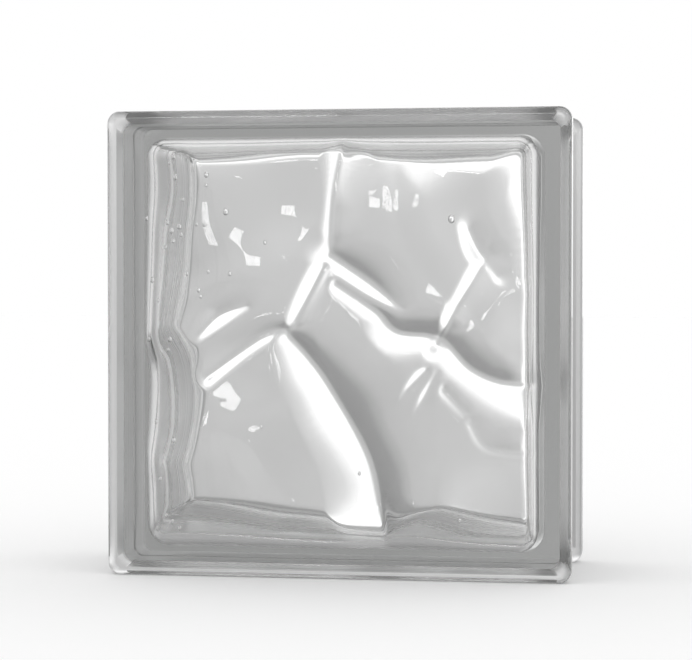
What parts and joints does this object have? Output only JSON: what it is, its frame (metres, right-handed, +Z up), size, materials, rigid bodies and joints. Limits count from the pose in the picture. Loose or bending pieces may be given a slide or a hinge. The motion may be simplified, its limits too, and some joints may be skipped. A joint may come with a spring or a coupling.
{
  "type": "glass block",
  "caption": "Square hollow glass block with wavy inner faces, raised rims and a mortar channel round its edge, for walls and partitions that let light through.",
  "frame": {"origin": "centre of the block's footprint, on the plane it stands on", "axes": "+X to the right seen from the front, +Y from the front face to the back face, +Z up"},
  "size_m": [0.19, 0.08, 0.19],
  "materials": {
    "glass": "clear, smooth faces, wavy inside, matt in the mortar channel"
  },
  "bodies": {
    "root": {"glass_block": "glass"}
  },
  "joints": []
}
